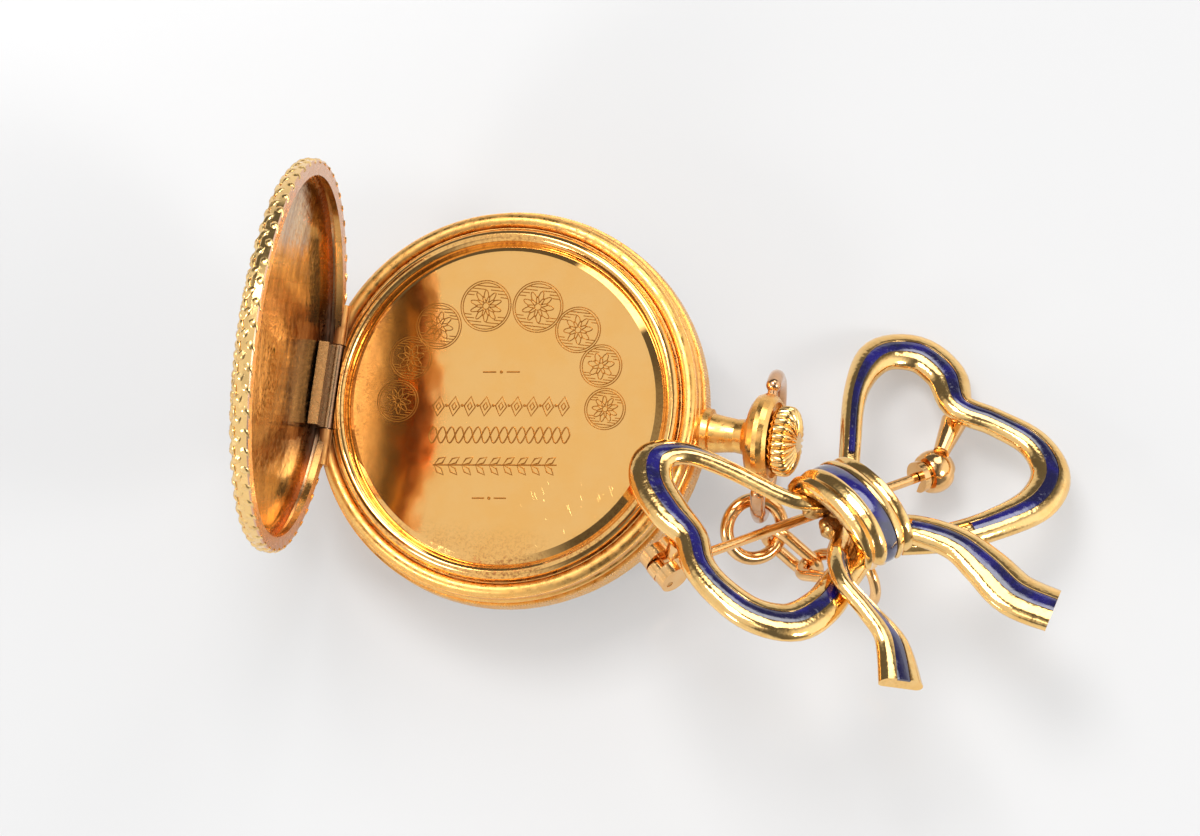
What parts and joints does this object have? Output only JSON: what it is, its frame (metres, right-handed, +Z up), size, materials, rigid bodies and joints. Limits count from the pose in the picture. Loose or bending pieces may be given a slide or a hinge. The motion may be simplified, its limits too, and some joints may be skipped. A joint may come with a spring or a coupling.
{
  "type": "watch on a bow brooch",
  "caption": "Small pocket watch with its back cover open, hanging by a short chain from a ribbon-bow brooch.",
  "frame": {"origin": "middle of the footprint, on the surface it lies on", "axes": "+Z up, +X from the open cover towards the bow brooch, +Y away from the brooch's ribbon tails"},
  "size_m": [0.0608, 0.0328, 0.0333],
  "materials": {
    "gold": "polished yellow gold",
    "pink_gold": "polished pink gold",
    "enamel": "glossy royal blue enamel",
    "crystal": "clear",
    "dial": "white enamel",
    "blued_steel": "blued",
    "movement": "plain"
  },
  "bodies": {
    "watch": {"case_middle": "gold", "front_bezel": "gold", "crystal": "crystal", "dial": "dial", "hour_hand": "blued_steel", "minute_hand": "blued_steel", "movement": "movement", "dust_cover": "gold", "hinge_pin": "gold", "bail": "pink_gold", "link_1": "gold", "link_2": "gold", "link_3": "gold", "link_4": "gold", "bow_frame": "gold", "left_loop_enamel": "enamel", "right_loop_enamel": "enamel", "left_tail_enamel": "enamel", "right_tail_enamel": "enamel", "knot_enamel": "enamel", "pin_hinge": "gold", "pin_rivet": "gold", "catch_housing": "gold"},
    "back_cover": {"back_cover": "gold", "cover_enamel": "enamel"},
    "crown": {"crown": "gold"},
    "pin_stem": {"pin_stem": "gold"},
    "catch_roller": {"catch_roller": "gold"}
  },
  "joints": [
    {"name": "cover_hinge", "type": "hinge", "parent": "watch", "child": "back_cover", "pos_m": [-0.02448, 0.00175, 0.00637], "axis": [-0.0093, 0.9989, 0.0451], "range_deg": [0, 73]},
    {"name": "crown_turn", "type": "hinge", "parent": "watch", "child": "crown", "pos_m": [0.00893, 0.00189, 0.01024], "axis": [0.9795, 0, 0.2016], "continuous": true},
    {"name": "pin_swing", "type": "hinge", "parent": "watch", "child": "pin_stem", "pos_m": [0.00154, -0.00982, 0.0153], "axis": [-0.6776, 0.6648, -0.3144], "range_deg": [0, 12]},
    {"name": "catch_turn", "type": "hinge", "parent": "watch", "child": "catch_roller", "pos_m": [0.01958, 0.00266, 0.00281], "axis": [0.7146, 0.4944, -0.4949], "range_deg": [0, 90]}
  ]
}
